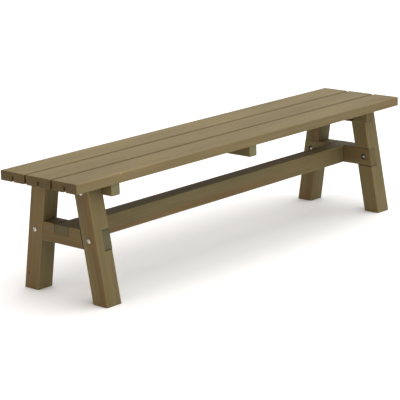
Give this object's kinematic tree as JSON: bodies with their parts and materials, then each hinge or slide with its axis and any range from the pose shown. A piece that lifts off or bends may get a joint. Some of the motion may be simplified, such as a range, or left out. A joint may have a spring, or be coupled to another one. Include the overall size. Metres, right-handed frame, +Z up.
{
  "type": "backless bench",
  "caption": "Long backless bench: slatted plank seat on two splayed trestles, cross rails and a low central stretcher, all in stained softwood.",
  "frame": {"origin": "middle of the footprint, on the ground under the centre of the seat", "axes": "+X along the seat, +Y across it towards the rear plank, +Z up"},
  "size_m": [1.8, 0.42, 0.45],
  "materials": {
    "plank_wood": "planed softwood with a grey-brown stain, slightly lighter on top",
    "frame_wood": "planed softwood with a brown stain, reddish along the grain",
    "zinc_steel": "bright zinc-plated fasteners"
  },
  "bodies": {
    "root": {"seat_plank_front": "plank_wood", "seat_plank_middle": "plank_wood", "seat_plank_rear": "plank_wood", "bearer_left": "frame_wood", "bearer_middle": "frame_wood", "bearer_right": "frame_wood", "leg_left_front": "frame_wood", "leg_left_rear": "frame_wood", "leg_right_front": "frame_wood", "leg_right_rear": "frame_wood", "rail_left": "frame_wood", "rail_right": "frame_wood", "stretcher": "frame_wood", "carriage_bolts_long": "zinc_steel", "carriage_bolts_short": "zinc_steel", "washers": "zinc_steel", "nuts": "zinc_steel", "wood_screws": "zinc_steel"}
  },
  "joints": []
}
